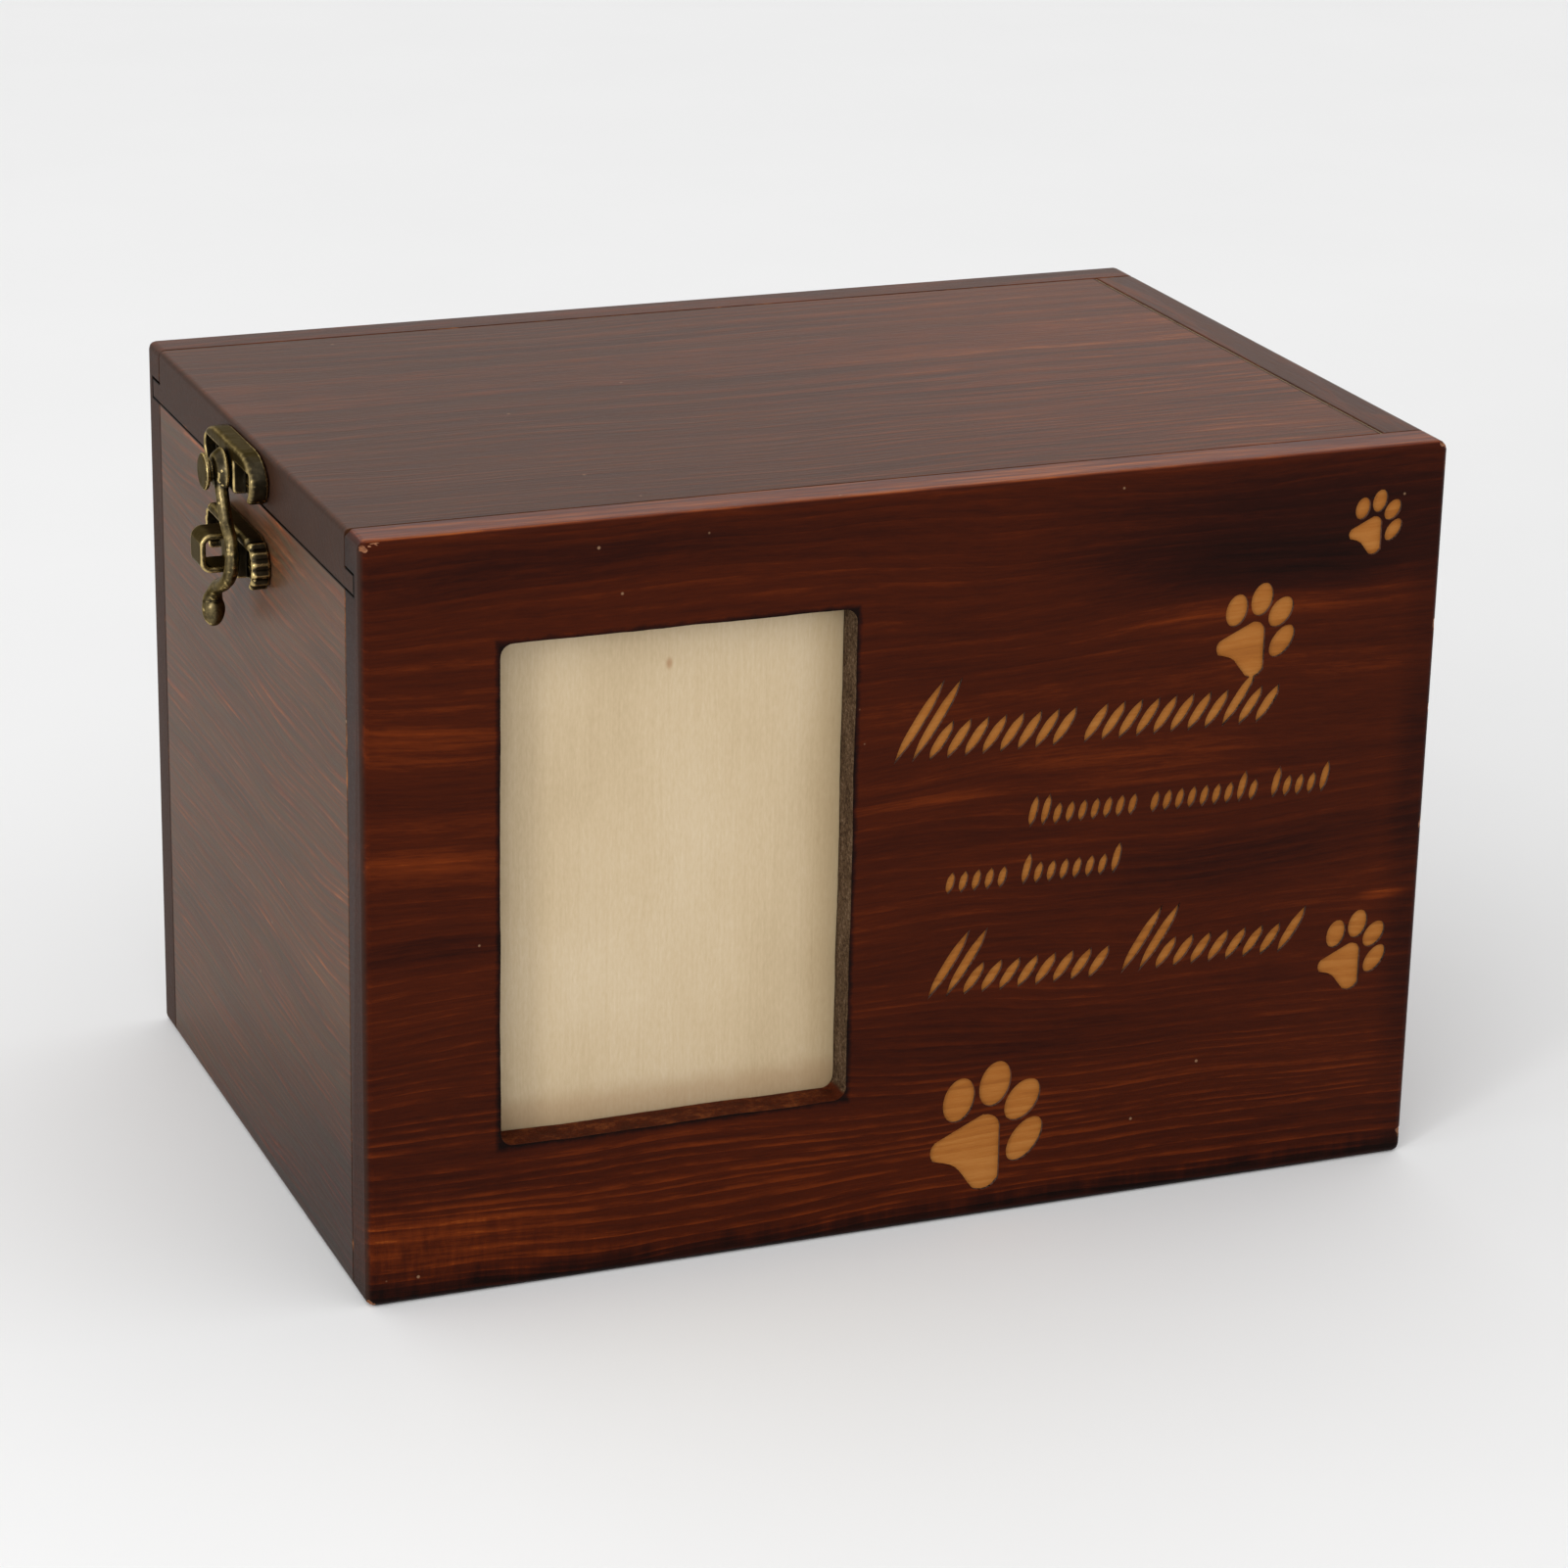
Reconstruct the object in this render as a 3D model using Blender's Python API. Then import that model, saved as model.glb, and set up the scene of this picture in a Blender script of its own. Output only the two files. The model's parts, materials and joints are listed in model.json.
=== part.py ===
"""A wooden pet urn box with a photo window, a sliding lid and a swinging hook latch.

Metres, +Z up. The origin is the centre of the underside. The front, with the window and the
engraving, faces -Y. The lid slides out over the left end, -X, which carries the latch.
"""
import math

import bmesh
import bpy
from mathutils import Matrix, Vector

MM = 0.001

# The box
LENGTH = 190 * MM
DEPTH = 130 * MM
HEIGHT = 130 * MM
SIDE_WALL = 8 * MM
END_WALL = 8 * MM
FLOOR_THICKNESS = 5 * MM
EDGE_RADIUS = 1.4 * MM
GLUE_GAP = 0.3 * MM
# How far a cutter runs past the face that it cuts
OVERSHOOT = 2 * MM

# The sliding lid and the grooves it runs in
LID_THICKNESS = 9.4 * MM
TONGUE_THICKNESS = 3.2 * MM
TONGUE_REACH = 4.4 * MM
LID_CLEARANCE = 0.4 * MM
LID_END_GAP = 0.6 * MM
LID_EDGE_RADIUS = 1.0 * MM

# The photo window and the board behind it
WINDOW_LEFT_RAIL = 22.8 * MM
WINDOW_BOTTOM_RAIL = 25.6 * MM
WINDOW_TOP_RAIL = 18.8 * MM
WINDOW_WIDTH = 60.3 * MM
WINDOW_CORNER = 2.2 * MM
BOARD_THICKNESS = 3 * MM
BOARD_RECESS = 2.2 * MM
BOARD_TONGUE = 2 * MM
BOARD_TOP_GAP = 3 * MM
PHOTO_SLOT = 0.5 * MM

# The engraving on the front
ENGRAVING_DEPTH = 0.45 * MM
PAW_CORNERS = 18
STROKE_POINTS = 4
# The power of the sine that gives a stroke its width: less is fuller
STROKE_TAPER = 0.5

# The latch: heights above the end face are called rise
PLATE_RISE = 3.1 * MM
PLATE_EDGE_RADIUS = 0.6 * MM
POCKET_FLOOR = 0.9 * MM
POCKET_WALL = 0.9 * MM
LID_PLATE_LENGTH = 29.4 * MM
LID_PLATE_HEIGHT = 8.2 * MM
# How much longer than it is high each upper shoulder of the lid's plate is
LID_PLATE_SHOULDER = 1.9
LID_POCKET_ROOF = 2.4 * MM
CATCH_PLATE_LENGTH = 30.2 * MM
CATCH_PLATE_HEIGHT = 8.8 * MM
CATCH_POCKET_ROOF = 1.6 * MM
CATCH_DROP = 14.3 * MM
CATCH_RIBS = 14
RIB_DEPTH = 0.5 * MM
BRIDGE_WIDTH = 8.4 * MM
# Degrees round an ear, from its top, at which its pocket opens downwards
POCKET_END = 150
LOOP_WIDTH = 6.4 * MM
LOOP_THICKNESS = 0.9 * MM
LOOP_BEND = 1.9 * MM
LOOP_RISE = 8.6 * MM
LOOP_HEIGHT = 6.6 * MM
LOOP_DROP = 0.1 * MM
PIVOT_DROP = 1.0 * MM
RIVET_DIAMETER = 1.6 * MM
RIVET_NECK_DIAMETER = 3.6 * MM
RIVET_NECK_LENGTH = 0.8 * MM
RIVET_HEAD_DIAMETER = 6.2 * MM
RIVET_HEAD_THICKNESS = 0.8 * MM
HOOK_RISE = 4.5 * MM
HOOK_DIAMETER = 2.0 * MM
HUB_INNER_DIAMETER = 7.6 * MM
HUB_OUTER_DIAMETER = 5.8 * MM
HUB_THICKNESS = 2.0 * MM
HOOK_BOW = 4.6 * MM
HOOK_TAIL = 6.9 * MM
HOOK_TIP_DIAMETER = 3.4 * MM
HOOK_TIP_LENGTH = 4.6 * MM
TURN_CLEARANCE = 0.3 * MM
SCREW_DIAMETER = 1.5 * MM
SCREW_LENGTH = 5.5 * MM
SCREW_HEAD_DIAMETER = 3.4 * MM
SCREW_HEAD_THICKNESS = 0.8 * MM
SCREW_SLOT = 0.45 * MM

# What follows from the sizes above
LEFT, RIGHT = -LENGTH / 2, LENGTH / 2
FRONT, BACK = -DEPTH / 2, DEPTH / 2
INNER_FRONT, INNER_BACK = FRONT + SIDE_WALL, BACK - SIDE_WALL
INNER_LEFT, INNER_RIGHT = LEFT + END_WALL, RIGHT - END_WALL
LID_BOTTOM = HEIGHT - LID_THICKNESS
TONGUE_TOP = LID_BOTTOM + TONGUE_THICKNESS
LID_RIGHT = INNER_RIGHT - LID_END_GAP
BOARD_FRONT = INNER_FRONT - BOARD_RECESS + PHOTO_SLOT
BOARD_BACK = BOARD_FRONT + BOARD_THICKNESS
BOARD_TOP = LID_BOTTOM - BOARD_TOP_GAP
WINDOW_LEFT = LEFT + WINDOW_LEFT_RAIL
WINDOW_RIGHT = WINDOW_LEFT + WINDOW_WIDTH
WINDOW_TOP = HEIGHT - WINDOW_TOP_RAIL
LID_PLATE_Z = HEIGHT - LID_THICKNESS / 2
CATCH_Z = LID_PLATE_Z - CATCH_DROP
PIVOT_Z = LID_PLATE_Z - PIVOT_DROP
LOOP_Z = CATCH_Z - LOOP_DROP
# Each plate stands this far off the wood, as touching pieces do here.
PLATE_SEAT = GLUE_GAP
PLATE_TOP = PLATE_SEAT + PLATE_RISE
PLATE_FLOOR = PLATE_SEAT + POCKET_FLOOR
HUB_BACK = PLATE_TOP + TURN_CLEARANCE
HUB_FACE = HUB_BACK + HUB_THICKNESS

# A paw print in its own upright frame, as shares of its overall width. A toe is its centre,
# its long and short axes and its lean in degrees. A pad lobe is its centre, its radius and the
# stretch of its circle, in degrees, that the pad's outline follows.
TOES = (
    (-0.353, 0.335, 0.387, 0.270, 16),
    (-0.136, 0.586, 0.395, 0.271, 16),
    (0.163, 0.566, 0.392, 0.267, -5),
    (0.369, 0.281, 0.424, 0.248, -5),
)
PAD_LOBES = (
    (0.190, -0.122, 0.145, -100, 20),
    (0.000, 0.208, 0.136, 20, 145),
    (-0.240, -0.104, 0.110, 145, 262),
)
PAD_DIP = (-0.060, -0.176)
PAW_LEAN = 31

# Where the paw prints and the rows of strokes lie, as shares of the field between the window
# and the right end: across, then up. A print adds its width.
PAWS = (
    (0.866, 0.885, 10.1 * MM),
    (0.660, 0.748, 14.7 * MM),
    (0.869, 0.286, 13.2 * MM),
    (0.222, 0.094, 21.0 * MM),
)
# A row is its start and end across, its base line, the height of a low stroke, its lean in
# degrees, a stroke's width and its words. A word is the rise of each stroke over a low one.
LOW, TALL, GRAND = (1.0,), (1.45,), (2.1,)
SWASH_ROW_ONE = (2 * GRAND + 8 * LOW, 8 * LOW + TALL + 2 * LOW)
PLAIN_ROW_ONE = (2 * TALL + 7 * LOW, 7 * LOW + TALL + LOW, TALL + 3 * LOW + TALL)
PLAIN_ROW_TWO = (5 * LOW, TALL + 6 * LOW + TALL)
SWASH_ROW_TWO = (2 * GRAND + 8 * LOW, 2 * GRAND + 7 * LOW + TALL)
ROWS = (
    (0.057, 0.743, 0.645, 6.6 * MM, 32, 2.2 * MM, SWASH_ROW_ONE),
    (0.294, 0.835, 0.538, 3.9 * MM, 12, 1.5 * MM, PLAIN_ROW_ONE),
    (0.158, 0.474, 0.460, 3.9 * MM, 12, 1.5 * MM, PLAIN_ROW_TWO),
    (0.126, 0.816, 0.318, 5.6 * MM, 32, 2.2 * MM, SWASH_ROW_TWO),
)
WORD_SPACE = 0.8

for leftover in list(bpy.data.objects):
    bpy.data.objects.remove(leftover, do_unlink=True)

parts = bpy.data.collections.new("pet_urn_box")
cutters = bpy.data.collections.new("cutters")
bpy.context.scene.collection.children.link(parts)
bpy.context.scene.collection.children.link(cutters)


def material(name, colour, roughness, metallic=0.0):
    """A Principled material of one colour."""
    made = bpy.data.materials.new(name)
    made.use_nodes = True
    shader = made.node_tree.nodes["Principled BSDF"]
    shader.inputs["Base Color"].default_value = (*colour, 1)
    shader.inputs["Roughness"].default_value = roughness
    shader.inputs["Metallic"].default_value = metallic
    return made


STAINED_WOOD = material("stained_wood", (0.12, 0.035, 0.018), 0.42)
STAINED_LID = material("stained_lid", (0.15, 0.06, 0.04), 0.38)
PALE_BOARD = material("pale_board", (0.66, 0.52, 0.33), 0.7)
FLOOR_WOOD = material("floor_wood", (0.45, 0.28, 0.15), 0.65)
BRASS = material("antique_brass", (0.17, 0.13, 0.06), 0.35, 1.0)
SCREW_BRASS = material("dark_brass", (0.12, 0.09, 0.05), 0.45, 1.0)


def linked(name, mesh, home, finish=None):
    """A new object of this mesh, in the parts or among the cutters."""
    made = bpy.data.objects.new(name, mesh)
    home.objects.link(made)
    if finish:
        mesh.materials.append(finish)
    if home is cutters:
        made.hide_render = True
        made.display_type = "WIRE"
    return made


def box(name, x, y, z, home, finish=None, rounded=None, radius=EDGE_RADIUS):
    """A block between pairs of coordinates. rounded says which edges, by their ends, to round."""
    low = Vector((x[0], y[0], z[0]))
    size = Vector((x[1], y[1], z[1])) - low
    shape = bmesh.new()
    bmesh.ops.create_cube(shape, size=1.0)
    for vert in shape.verts:
        vert.co = low + Vector((vert.co[i] + 0.5) * size[i] for i in range(3))
    if rounded:
        chosen = [edge for edge in shape.edges if rounded(edge.verts[0].co, edge.verts[1].co)]
        bmesh.ops.bevel(
            shape, geom=chosen, offset=radius, segments=3, profile=0.5, affect="EDGES"
        )
    mesh = bpy.data.meshes.new(name)
    shape.to_mesh(mesh)
    shape.free()
    return linked(name, mesh, home, finish)


def near(a, b):
    return abs(a - b) < 0.01 * MM


def boolean(target, other, operation):
    modifier = target.modifiers.new(other.name, "BOOLEAN")
    modifier.object = other
    modifier.operation = operation
    modifier.solver = "EXACT"


def cut(target, *tools):
    for tool in tools:
        boolean(target, tool, "DIFFERENCE")


def join(target, *others):
    for other in others:
        boolean(target, other, "UNION")


def meshed(curve_object, name, home, finish=None):
    """The curve as a mesh object with its caps welded; the curve is removed."""
    bpy.context.view_layer.update()
    graph = bpy.context.evaluated_depsgraph_get()
    mesh = bpy.data.meshes.new_from_object(curve_object.evaluated_get(graph))
    shape = bmesh.new()
    shape.from_mesh(mesh)
    bmesh.ops.remove_doubles(shape, verts=shape.verts, dist=0.001 * MM)
    bmesh.ops.recalc_face_normals(shape, faces=shape.faces)
    shape.to_mesh(mesh)
    shape.free()
    mesh.materials.clear()
    made = linked(name, mesh, home, finish)
    made.matrix_world = curve_object.matrix_world
    bpy.data.objects.remove(curve_object, do_unlink=True)
    return made


def plate(name, outlines, thickness, place, home, finish=None, edge_radius=0):
    """Flat outlines in the local XY plane, filled and given a thickness centred on it."""
    curve = bpy.data.curves.new(name, "CURVE")
    curve.dimensions = "2D"
    curve.fill_mode = "BOTH"
    curve.extrude = thickness / 2
    for outline in outlines:
        spline = curve.splines.new("POLY")
        spline.points.add(len(outline) - 1)
        for point, (x, y) in zip(spline.points, outline):
            point.co = (x, y, 0, 1)
        spline.use_cyclic_u = True
    guide = bpy.data.objects.new(name + "_curve", curve)
    cutters.objects.link(guide)
    guide.matrix_world = place
    made = meshed(guide, name, home, finish)
    if edge_radius:
        round_upper_edge(made.data, thickness / 2, edge_radius)
    return made


def round_upper_edge(mesh, level, radius):
    """Rounds the rim of a flat piece's upper face."""
    shape = bmesh.new()
    shape.from_mesh(mesh)
    bmesh.ops.dissolve_limit(
        shape, angle_limit=math.radians(1), verts=shape.verts, edges=shape.edges
    )
    rim = [edge for edge in shape.edges if all(near(v.co.z, level) for v in edge.verts)]
    bmesh.ops.bevel(
        shape,
        geom=rim,
        offset=radius,
        segments=2,
        profile=0.5,
        affect="EDGES",
        clamp_overlap=True,
    )
    shape.to_mesh(mesh)
    shape.free()


def arc(centre, radius, start, end, steps):
    """Points on a circle from one angle to another, in degrees."""
    angles = [math.radians(start + (end - start) * i / steps) for i in range(steps + 1)]
    return [
        (centre[0] + radius * math.cos(a), centre[1] + radius * math.sin(a)) for a in angles
    ]


def rounded_rectangle(low, high, radius, steps=4):
    """A rectangle's outline with round corners."""
    corners = (
        ((high[0] - radius, high[1] - radius), 0),
        ((low[0] + radius, high[1] - radius), 90),
        ((low[0] + radius, low[1] + radius), 180),
        ((high[0] - radius, low[1] + radius), 270),
    )
    return [
        point
        for centre, start in corners
        for point in arc(centre, radius, start, start + 90, steps)
    ]


# Local X and Y of a flat outline become X and Z of the box, seen from the front.
def upright_at(y):
    return Matrix.Translation((0, y, 0)) @ Matrix.Rotation(math.pi / 2, 4, "X")


def turned(name, profile, steps, home, finish=None):
    """A closed profile of (radius, rise) points turned about local Z."""
    shape = bmesh.new()
    verts = [shape.verts.new((radius, 0, rise)) for radius, rise in profile]
    edges = [shape.edges.new(pair) for pair in zip(verts, verts[1:] + verts[:1])]
    bmesh.ops.spin(
        shape,
        geom=verts + edges,
        cent=(0, 0, 0),
        axis=(0, 0, 1),
        angle=2 * math.pi,
        steps=steps,
        use_merge=True,
    )
    bmesh.ops.remove_doubles(shape, verts=shape.verts, dist=0.001 * MM)
    loose = [edge for edge in shape.edges if not edge.link_faces]
    bmesh.ops.delete(shape, geom=loose, context="EDGES")
    bmesh.ops.recalc_face_normals(shape, faces=shape.faces)
    mesh = bpy.data.meshes.new(name)
    shape.to_mesh(mesh)
    shape.free()
    mesh.shade_smooth()
    mesh.set_sharp_from_angle(angle=math.radians(40))
    return linked(name, mesh, home, finish)


def on_end_face(made, y, z, rise=0.0):
    """Stands a turned shape on the left end face: its local Z points out of the face."""
    made.matrix_world = Matrix.Translation((LEFT - rise, y, z)) @ Matrix.Rotation(
        -math.pi / 2, 4, "Y"
    )
    return made


def rod(name, radius, low, high, y, z, steps=16):
    """A cylindrical cutter out of the left end face, between two rises."""
    profile = [(0, high), (radius, high), (radius, low), (0, low)]
    return on_end_face(turned(name, profile, steps, cutters), y, z)


def front_panel():
    """The front: it covers both ends. The lid's groove and the board's recess are behind."""
    panel = box(
        "front_panel",
        (LEFT, RIGHT),
        (FRONT, INNER_FRONT),
        (0, HEIGHT),
        parts,
        STAINED_WOOD,
        rounded=lambda a, b: near(min(a.y, b.y), FRONT),
    )
    cut(panel, groove("front_groove", INNER_FRONT, -1))
    reach = BOARD_TONGUE + GLUE_GAP
    recess = box(
        "board_recess",
        (INNER_LEFT - reach, INNER_RIGHT + reach),
        (INNER_FRONT - BOARD_RECESS, INNER_FRONT + OVERSHOOT),
        (FLOOR_THICKNESS, BOARD_TOP + GLUE_GAP),
        cutters,
    )
    cut(panel, recess)
    window = rounded_rectangle(
        (WINDOW_LEFT, WINDOW_BOTTOM_RAIL), (WINDOW_RIGHT, WINDOW_TOP), WINDOW_CORNER
    )
    middle = upright_at(FRONT + SIDE_WALL / 2)
    cut(panel, plate("window_cutter", [window], 2 * SIDE_WALL, middle, cutters))
    surface = upright_at(FRONT)
    for index, (across, up, width) in enumerate(PAWS):
        outlines = paw(field_point(across, up), width)
        name = f"paw_cutter_{index + 1}"
        cut(panel, plate(name, outlines, 2 * ENGRAVING_DEPTH, surface, cutters))
    for index, row in enumerate(ROWS):
        name = f"row_cutter_{index + 1}"
        cut(panel, plate(name, row_of_strokes(*row), 2 * ENGRAVING_DEPTH, surface, cutters))
    return panel


def back_panel():
    """The plain back, with the other lid groove."""
    panel = box(
        "back_panel",
        (LEFT, RIGHT),
        (INNER_BACK, BACK),
        (0, HEIGHT),
        parts,
        STAINED_WOOD,
        rounded=lambda a, b: near(max(a.y, b.y), BACK),
    )
    cut(panel, groove("back_groove", INNER_BACK, 1))
    return panel


def groove(name, inner_face, side):
    """The lid's groove in a side wall, open at the left end and stopped at the right panel."""
    depth = sorted(
        (inner_face - side * OVERSHOOT, inner_face + side * (TONGUE_REACH + LID_CLEARANCE))
    )
    height = (LID_BOTTOM - GLUE_GAP, TONGUE_TOP + LID_CLEARANCE)
    return box(name, (LEFT - OVERSHOOT, INNER_RIGHT), depth, height, cutters)


def field_point(across, up):
    """A point of the engraved field, between the window and the right end."""
    return WINDOW_RIGHT + across * (RIGHT - WINDOW_RIGHT), up * HEIGHT


def paw(pad_centre, width):
    """The outlines of four toes and a pad, leaning to the right."""
    lean = math.radians(-PAW_LEAN)

    def placed(x, z):
        return (
            pad_centre[0] + width * (x * math.cos(lean) - z * math.sin(lean)),
            pad_centre[1] + width * (x * math.sin(lean) + z * math.cos(lean)),
        )

    outlines = []
    for x, z, long_axis, short_axis, tilt in TOES:
        turn = math.radians(tilt)
        outline = []
        for u, v in arc((0, 0), 0.5, 0, 360 - 360 / PAW_CORNERS, PAW_CORNERS - 1):
            u, v = u * short_axis, v * long_axis
            outline.append(
                placed(
                    x + u * math.cos(turn) - v * math.sin(turn),
                    z + u * math.sin(turn) + v * math.cos(turn),
                )
            )
        outlines.append(outline)
    pad = [
        point
        for x, z, radius, start, end in PAD_LOBES
        for point in arc((x, z), radius, start, end, 6)
    ]
    outlines.append([placed(*point) for point in pad + [PAD_DIP]])
    return outlines


def row_of_strokes(start, end, base, height, lean, width, words):
    """Leaf-shaped slanting strokes in a row, as wide as the field shares say."""
    left, bottom = field_point(start, base)
    right = field_point(end, base)[0]
    slope = math.tan(math.radians(lean))
    count = sum(len(word) for word in words) + WORD_SPACE * (len(words) - 1)
    last_rise = words[-1][-1]
    pitch = (right - left - last_rise * height * slope) / count
    outlines = []
    x = left
    for word in words:
        for rise in word:
            outlines.append(stroke(x + width / 2, bottom, rise * height, slope, width))
            x += pitch
        x += WORD_SPACE * pitch
    return outlines


def stroke(x, bottom, height, slope, width):
    """One leaf-shaped stroke: pointed ends and a full middle."""
    up = [i / STROKE_POINTS for i in range(STROKE_POINTS + 1)]
    right_side = [(t, 0.5 * width * max(0, math.sin(math.pi * t)) ** STROKE_TAPER) for t in up]
    left_side = [(t, -half) for t, half in reversed(right_side[1:-1])]
    outline = right_side + left_side
    return [(x + t * height * slope + half, bottom + t * height) for t, half in outline]


def end_panel(name, outer, inner, top):
    """An end panel between the front and the back, rebated for the backing board."""

    def rounded(a, b):
        lengthways = near(a.x, outer) and near(b.x, outer) and near(a.z, b.z)
        return lengthways and (near(a.z, 0) or near(a.z, HEIGHT))

    panel = box(
        name,
        sorted((outer, inner)),
        (INNER_FRONT + GLUE_GAP, INNER_BACK - GLUE_GAP),
        (0, top),
        parts,
        STAINED_WOOD,
        rounded,
    )
    inward = math.copysign(1, inner - outer)
    rebate = box(
        name + "_rebate",
        sorted((inner + inward * OVERSHOOT, inner - inward * (BOARD_TONGUE + GLUE_GAP))),
        (INNER_FRONT - OVERSHOOT, BOARD_BACK + GLUE_GAP),
        (FLOOR_THICKNESS, BOARD_TOP + GLUE_GAP),
        cutters,
    )
    cut(panel, rebate)
    return panel


def floor_panel():
    """The bottom, let in between the four walls and flush with their lower edges."""
    return box(
        "floor_panel",
        (INNER_LEFT + GLUE_GAP, INNER_RIGHT - GLUE_GAP),
        (INNER_FRONT + GLUE_GAP, INNER_BACK - GLUE_GAP),
        (0, FLOOR_THICKNESS),
        parts,
        FLOOR_WOOD,
    )


def backing_board():
    """The pale board behind the window, let into the front's back and the end panels."""
    return box(
        "backing_board",
        (INNER_LEFT - BOARD_TONGUE, INNER_RIGHT + BOARD_TONGUE),
        (BOARD_FRONT, BOARD_BACK),
        (FLOOR_THICKNESS + GLUE_GAP, BOARD_TOP),
        parts,
        PALE_BOARD,
    )


def sliding_lid():
    """The lid: a board rebated along both sides, so that a tongue runs in each wall's groove."""
    half = INNER_BACK + TONGUE_REACH
    lid = box(
        "sliding_lid",
        (LEFT, LID_RIGHT),
        (-half, half),
        (LID_BOTTOM, HEIGHT),
        parts,
        STAINED_LID,
        rounded=lambda a, b: near(a.x + b.x, 2 * LEFT) and near(a.z + b.z, 2 * HEIGHT),
        radius=LID_EDGE_RADIUS,
    )
    for side, name in ((-1, "front"), (1, "back")):
        shoulder = side * (INNER_BACK - LID_CLEARANCE)
        rebate = box(
            f"lid_{name}_rebate",
            (LEFT - OVERSHOOT, LID_RIGHT + OVERSHOOT),
            sorted((shoulder, side * (half + OVERSHOOT))),
            (TONGUE_TOP, HEIGHT + OVERSHOOT),
            cutters,
        )
        cut(lid, rebate)
    return lid


def ear(tip_y, radius, ribs=0, shoulder=1.0):
    """A plate's end, as (up, y) points from its top to its foot. Ribs flute it.

    The upper quarter is stretched inwards by the shoulder's share.
    """
    side = math.copysign(1, tip_y)
    steps = 2 * ribs if ribs else 14
    points = []
    for i in range(steps + 1):
        angle = math.pi * i / steps
        notch = RIB_DEPTH * (0.5 - 0.5 * math.cos(ribs * angle))
        reach = radius - notch
        stretch = shoulder if 2 * i < steps else 1.0
        inward = stretch * (radius - reach * math.sin(angle))
        points.append((reach * math.cos(angle), tip_y - side * inward))
    return points if side > 0 else points[::-1]


def pocket(name, centre_y, radius, side, inner_y, roof):
    """The cutter of the hollow in a plate's ear, open outwards and downwards."""
    wall_radius = radius - POCKET_WALL
    top = radius - roof
    start = math.acos(min(1, top / wall_radius))
    end = math.radians(POCKET_END)
    steps = 8
    angles = [start + (end - start) * i / steps for i in range(steps + 1)]
    rim = [(wall_radius * math.cos(a), centre_y + side * wall_radius * math.sin(a)) for a in angles]
    below = -radius - OVERSHOOT
    outline = [(below, inner_y), (top, inner_y)] + rim + [(below, rim[-1][1])]
    return plate(name, [outline], 2 * PLATE_RISE, Matrix.Identity(4), cutters)


def latch_plate(name, length, height, z, roof, wood, ribs=0, shoulder=1.0):
    """A cast plate hollowed in both ears, its screws, and their holes in the wood."""
    radius = height / 2
    reach = length / 2 - radius
    outline = ear(length / 2, radius, ribs, shoulder) + ear(-length / 2, radius, ribs, shoulder)
    flat = Matrix.Identity(4)
    body = plate(name, [outline], PLATE_RISE, flat, parts, BRASS, PLATE_EDGE_RADIUS)
    on_end_face(body, 0, z, PLATE_SEAT + PLATE_RISE / 2)
    pocket_inner = BRIDGE_WIDTH / 2
    pocket_outer = reach + radius - POCKET_WALL
    screw_y = (pocket_inner + pocket_outer) / 2
    screw_z = z - roof / 2
    hole = SCREW_DIAMETER / 2 + GLUE_GAP
    depth = -SCREW_LENGTH - GLUE_GAP
    for side, where in ((-1, "front"), (1, "back")):
        hollow = pocket(
            f"{name}_{where}_pocket", side * reach, radius, side, side * pocket_inner, roof
        )
        cut(body, on_end_face(hollow, 0, z, PLATE_FLOOR + PLATE_RISE))
        y = side * screw_y
        drill = rod(f"{name}_{where}_hole", hole, depth, PLATE_TOP, y, screw_z, 12)
        cut(body, drill)
        cut(wood, drill)
        screw(f"{name}_screw_{where}", y, screw_z)
    return body


def screw(name, y, z):
    """A small slotted round-head screw, seated in a cup."""
    base = PLATE_FLOOR + GLUE_GAP
    head = SCREW_HEAD_DIAMETER / 2
    top = base + SCREW_HEAD_THICKNESS
    profile = [
        (0, top),
        (0.55 * head, top - 0.08 * SCREW_HEAD_THICKNESS),
        (0.87 * head, top - 0.4 * SCREW_HEAD_THICKNESS),
        (head, base),
        (SCREW_DIAMETER / 2, base),
        (SCREW_DIAMETER / 2, -0.7 * SCREW_LENGTH),
        (0, -SCREW_LENGTH),
    ]
    made = on_end_face(turned(name, profile, 16, parts, SCREW_BRASS), y, z)
    slot = box(
        name + "_slot",
        (LEFT - top - OVERSHOOT, LEFT - top + 0.5 * SCREW_HEAD_THICKNESS),
        (y - head - OVERSHOOT, y + head + OVERSHOOT),
        (z - SCREW_SLOT / 2, z + SCREW_SLOT / 2),
        cutters,
    )
    cut(made, slot)
    return made


def side_on(name, outlines, width, home):
    """Extrudes outlines of (rise, z) points along Y, across the middle of the end face."""
    place = Matrix(((-1, 0, 0, LEFT), (0, 0, 1, 0), (0, 1, 0, 0), (0, 0, 0, 1)))
    return plate(name, outlines, width, place, home)


def lid_plate(lid):
    """The plate on the lid's end, bored for the hook's rivet."""
    body = latch_plate(
        "lid_plate",
        LID_PLATE_LENGTH,
        LID_PLATE_HEIGHT,
        LID_PLATE_Z,
        LID_POCKET_ROOF,
        lid,
        shoulder=LID_PLATE_SHOULDER,
    )
    hole = RIVET_DIAMETER / 2 + GLUE_GAP
    cut(body, rod("rivet_hole", hole, -OVERSHOOT, PLATE_TOP + OVERSHOOT, 0, PIVOT_Z))
    return body


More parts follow.
